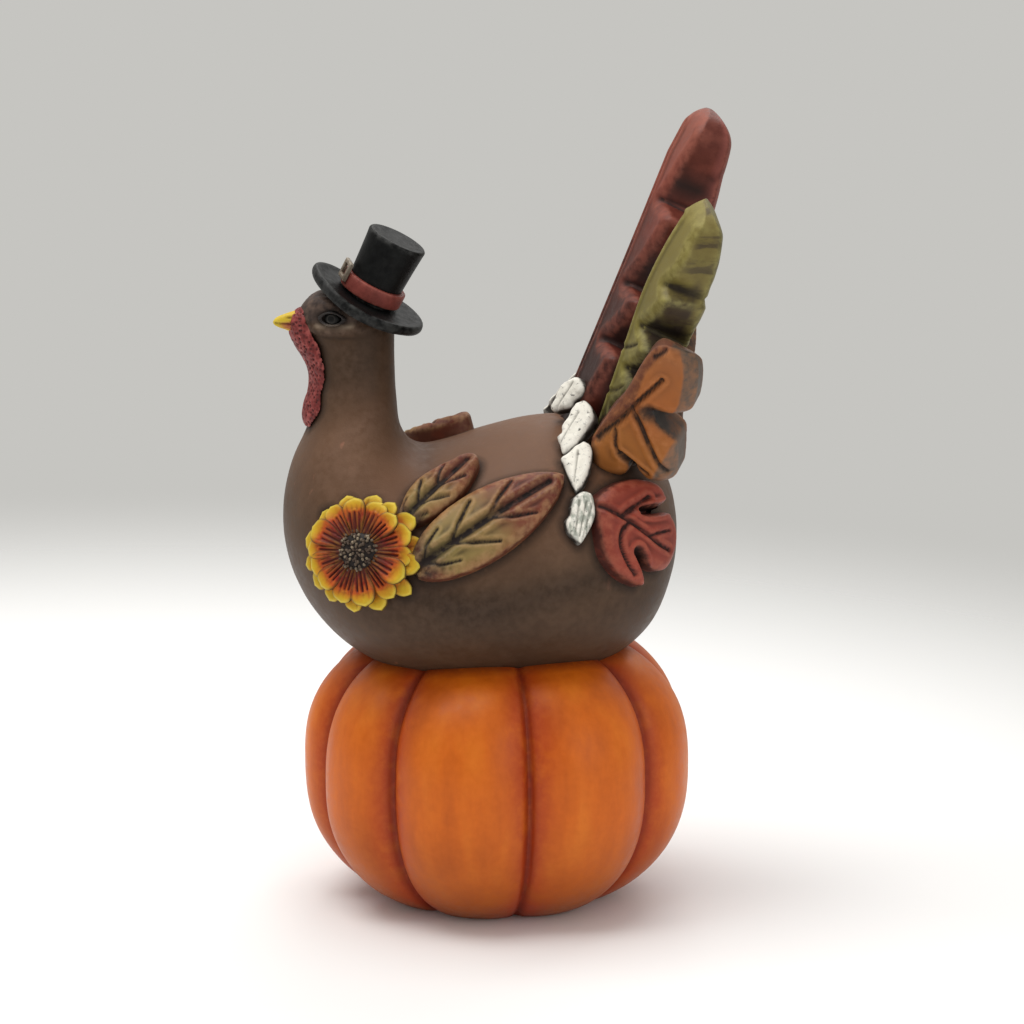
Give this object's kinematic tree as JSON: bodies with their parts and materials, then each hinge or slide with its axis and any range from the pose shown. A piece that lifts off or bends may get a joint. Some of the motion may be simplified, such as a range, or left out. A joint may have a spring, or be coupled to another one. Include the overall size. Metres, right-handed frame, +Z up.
{
  "type": "turkey figure on a pumpkin",
  "caption": "Painted resin turkey ornament with a leaf tail, tall hat and breast sunflower, seated on a ribbed pumpkin with a flat foot.",
  "frame": {"origin": "centre of the pumpkin's flat foot", "axes": "+Z up, -X the way the turkey faces, -Y the turkey's left side"},
  "size_m": [0.0983, 0.0814, 0.17],
  "materials": {
    "pumpkin_paint": "satin painted cast resin, dark red-brown wash in the creases",
    "body_paint": "satin brown painted cast resin",
    "eye_paint": "gloss painted bead",
    "beak_paint": "satin yellow paint",
    "wattle_paint": "pebbled, satin red paint",
    "hat_paint": "satin black paint with rubbed edges",
    "band_paint": "satin dusty red paint",
    "buckle_paint": "satin tan-gold paint",
    "outer_petal_paint": "yellow paint rubbed over rust",
    "inner_petal_paint": "yellow rim, orange middle and dark red root",
    "seed_paint": "pebbled, grey-brown paint",
    "wing_leaf_paint": "olive paint shading to red-brown, dark veins",
    "centre_leaf_paint": "dusty red paint, dark wash in the recesses",
    "upper_leaf_paint": "olive green paint with brown wash",
    "middle_leaf_paint": "orange-brown paint, dark veins",
    "lower_leaf_paint": "maroon paint, dark veins",
    "ruff_paint": "white paint with grey-green streaks"
  },
  "bodies": {
    "root": {"pumpkin_base": "pumpkin_paint", "turkey_body": "body_paint", "tail_root": "body_paint", "left_eye": "eye_paint", "right_eye": "eye_paint", "beak": "beak_paint", "wattle": "wattle_paint", "hat_brim": "hat_paint", "hat_crown": "hat_paint", "hat_band": "band_paint", "hat_buckle": "buckle_paint", "left_flower_outer_petals": "outer_petal_paint", "right_flower_outer_petals": "outer_petal_paint", "left_flower_inner_petals": "inner_petal_paint", "right_flower_inner_petals": "inner_petal_paint", "left_flower_seed_disc": "seed_paint", "right_flower_seed_disc": "seed_paint", "left_wing_leaf_upper": "wing_leaf_paint", "right_wing_leaf_upper": "wing_leaf_paint", "left_wing_leaf_lower": "wing_leaf_paint", "right_wing_leaf_lower": "wing_leaf_paint", "tail_leaf_centre": "centre_leaf_paint", "left_tail_leaf_upper": "upper_leaf_paint", "right_tail_leaf_upper": "upper_leaf_paint", "left_tail_leaf_middle": "middle_leaf_paint", "right_tail_leaf_middle": "middle_leaf_paint", "left_tail_leaf_lower": "lower_leaf_paint", "right_tail_leaf_lower": "lower_leaf_paint", "left_ruff_feather_1": "ruff_paint", "right_ruff_feather_1": "ruff_paint", "left_ruff_feather_2": "ruff_paint", "right_ruff_feather_2": "ruff_paint", "left_ruff_feather_3": "ruff_paint", "right_ruff_feather_3": "ruff_paint", "left_ruff_feather_4": "ruff_paint", "right_ruff_feather_4": "ruff_paint"}
  },
  "joints": []
}
